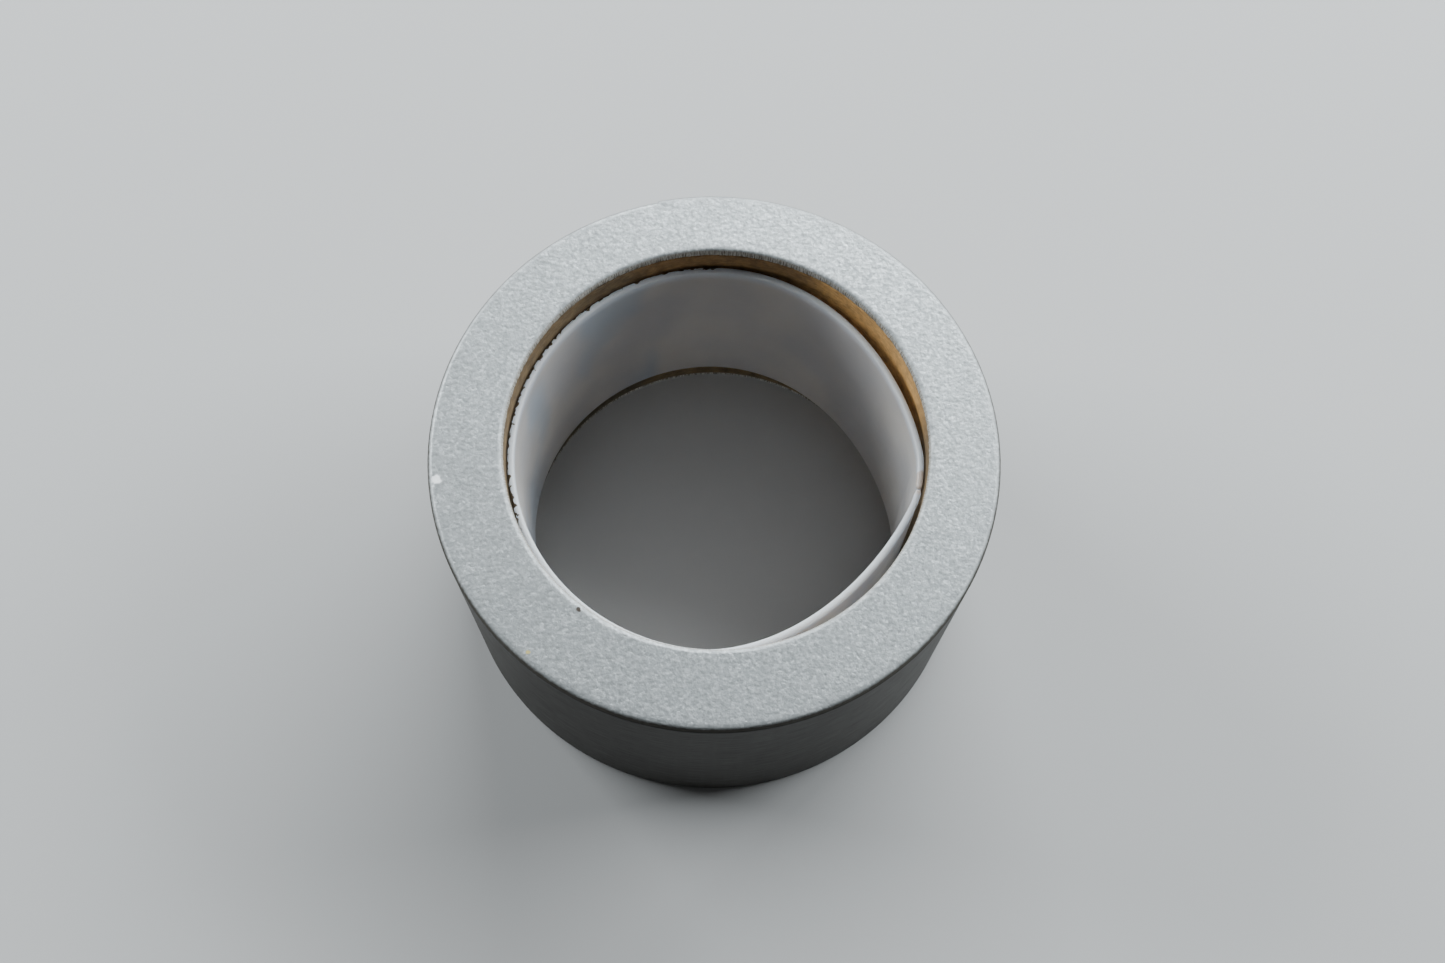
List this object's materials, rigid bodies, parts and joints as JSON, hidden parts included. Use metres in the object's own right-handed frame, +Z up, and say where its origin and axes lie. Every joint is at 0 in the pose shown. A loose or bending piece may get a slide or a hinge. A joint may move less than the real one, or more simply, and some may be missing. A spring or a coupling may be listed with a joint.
{
  "type": "duct tape roll",
  "caption": "Roll of silver duct tape wound on a paper core, lying flat, with silver side faces and a loose white plastic liner strip in the core.",
  "frame": {"origin": "centre of the round outline of the side face that the roll lies on", "axes": "+Z up along the roll's axis, through the core; the free end of the tape is at the back, towards +Y"},
  "size_m": [0.1024, 0.1024, 0.0564],
  "materials": {
    "kraft": "matte kraft paper, spirally wound, fibrous",
    "wound_tape": "matte, edges of many turns",
    "side_facing": "silver, fine metallic grain, satin",
    "adhesive": "tacky grey pressure-sensitive adhesive",
    "scrim": "open cotton and polyester gauze",
    "backing": "dark grey polyethylene film, satin, cloth showing through faintly",
    "liner": "milky white, smooth, slightly translucent"
  },
  "bodies": {
    "roll": {"core_inner_ply": "kraft", "core_middle_ply": "kraft", "core_outer_ply": "kraft", "wound_turns": "wound_tape", "top_facing": "side_facing", "bottom_facing": "side_facing", "last_turn_adhesive": "adhesive", "last_turn_scrim": "scrim", "last_turn_backing": "backing"},
    "free_end": {"free_end_adhesive": "adhesive", "free_end_scrim": "scrim", "free_end_backing": "backing"},
    "liner": {"core_liner": "liner"}
  },
  "joints": [
    {"name": "free_end_peel", "type": "hinge", "parent": "roll", "child": "free_end", "pos_m": [0.0089, 0.05047, 0.0282], "axis": [0, 0, -1], "range_deg": [0, 100]},
    {"name": "liner_slide", "type": "slide", "parent": "roll", "child": "liner", "axis": [0, 0, 1], "range_m": [0, 0.045]}
  ]
}
